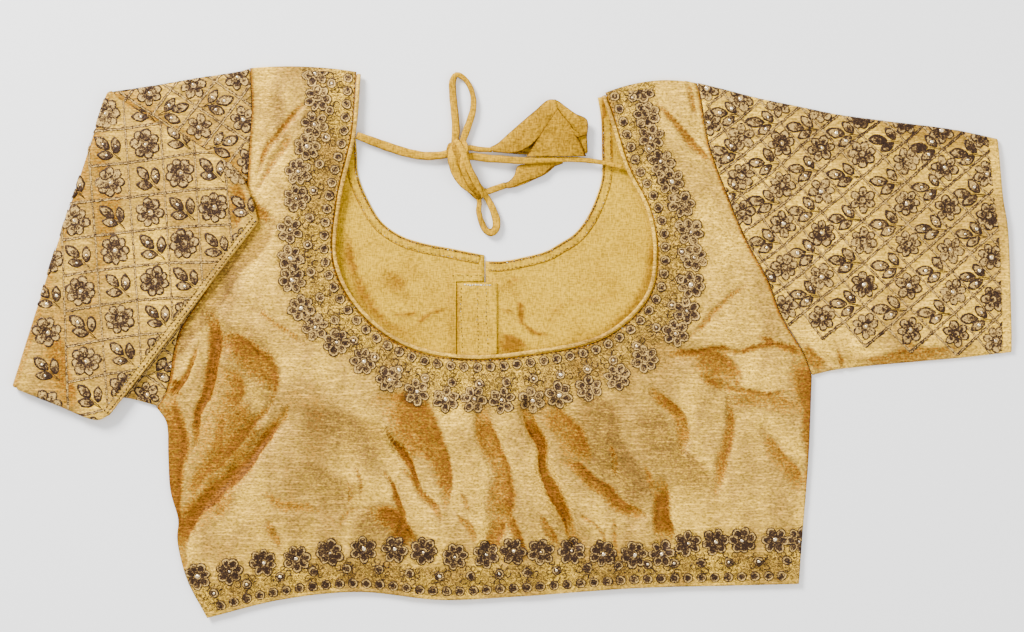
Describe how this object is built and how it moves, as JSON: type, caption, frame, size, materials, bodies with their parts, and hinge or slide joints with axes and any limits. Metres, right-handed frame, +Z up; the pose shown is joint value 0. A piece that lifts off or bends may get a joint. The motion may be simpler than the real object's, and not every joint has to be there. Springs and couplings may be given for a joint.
{
  "type": "blouse",
  "caption": "Short fitted gold shot-silk blouse with elbow sleeves, deep U back neck with tied neck ties, laid flat with the left sleeve turned back.",
  "frame": {"origin": "on the surface that the blouse lies on, below the middle of its outline", "axes": "+X to the sleeve that lies out straight, +Y from hem to shoulders, +Z up from the surface"},
  "size_m": [0.72, 0.3974, 0.0121],
  "materials": {
    "shot_silk": "satin",
    "lining": "matte",
    "facing": "matte",
    "piping": "satin",
    "tie_cloth": "satin"
  },
  "bodies": {
    "root": {"back_panel": "shot_silk", "front_panel_left": "lining", "front_panel_right": "lining", "front_neck_facing_left": "facing", "front_neck_facing_right": "facing", "placket_tape": "facing", "placket_flap": "facing", "sleeve_right": "shot_silk", "sleeve_left": "shot_silk", "neck_piping": "piping", "tie_left": "tie_cloth", "tie_right": "tie_cloth", "bow_loop_upper": "tie_cloth", "bow_loop_lower": "tie_cloth", "bow_knot": "tie_cloth", "tie_tail_upper": "tie_cloth", "tie_tail_lower": "tie_cloth", "tassel_upper": "tie_cloth", "tassel_lower": "tie_cloth"}
  },
  "joints": []
}
